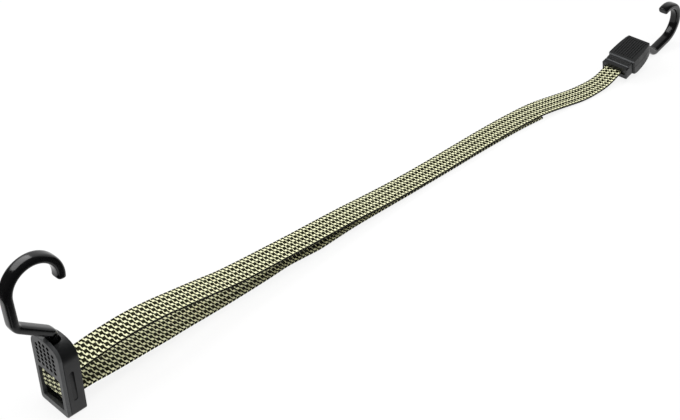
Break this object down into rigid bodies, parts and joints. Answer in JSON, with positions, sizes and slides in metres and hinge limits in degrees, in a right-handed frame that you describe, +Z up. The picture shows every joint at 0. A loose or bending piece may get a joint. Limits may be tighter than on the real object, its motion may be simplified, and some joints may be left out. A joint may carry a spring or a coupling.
{
  "type": "adjustable flat bungee strap",
  "caption": "Flat elastic bungee strap in a two-tone woven check, with a threaded adjuster and swivel hook at one end and a clamshell housing with a swivel hook at the other.",
  "frame": {"origin": "centre of the foot that the adjuster stands on", "axes": "+X along the strap towards the far hook, +Z up, the faceplate on the -X side"},
  "size_m": [0.6854, 0.0485, 0.1159],
  "materials": {
    "moulded_nylon": "satin moulded black",
    "hook_coat": "glossy black coating",
    "steel": "zinc-plated",
    "elastic_webbing": "woven pale yellow and black check"
  },
  "bodies": {
    "adjuster": {"adjuster_body": "moulded_nylon", "adjuster_faceplate": "moulded_nylon", "near_hook_washer": "steel", "strap_loop": "elastic_webbing", "strap_run": "elastic_webbing", "strap_tail": "elastic_webbing"},
    "near_swivel": {"near_hook_coat": "hook_coat", "near_hook_core": "steel"},
    "far_end": {"upper_cover": "moulded_nylon", "lower_cover": "moulded_nylon", "strap_collar": "moulded_nylon", "strap_end": "elastic_webbing", "anchor_pin": "steel", "far_hook_washer": "steel"},
    "far_swivel": {"far_hook_coat": "hook_coat", "far_hook_core": "steel"}
  },
  "joints": [
    {"name": "near_hook_swivel", "type": "hinge", "parent": "adjuster", "child": "near_swivel", "pos_m": [0, 0, 0.0573], "axis": [0, 0, 1], "continuous": true},
    {"name": "strap_stretch", "type": "slide", "parent": "adjuster", "child": "far_end", "axis": [1, 0, 0], "range_m": [0, 0.28], "stiffness_N_per_m": 270, "deforming": ["strap_run"]},
    {"name": "far_hook_swivel", "type": "hinge", "parent": "far_end", "child": "far_swivel", "pos_m": [0.60046, -0.02, 0.01925], "axis": [0.9613, 0, 0.2756], "continuous": true}
  ]
}
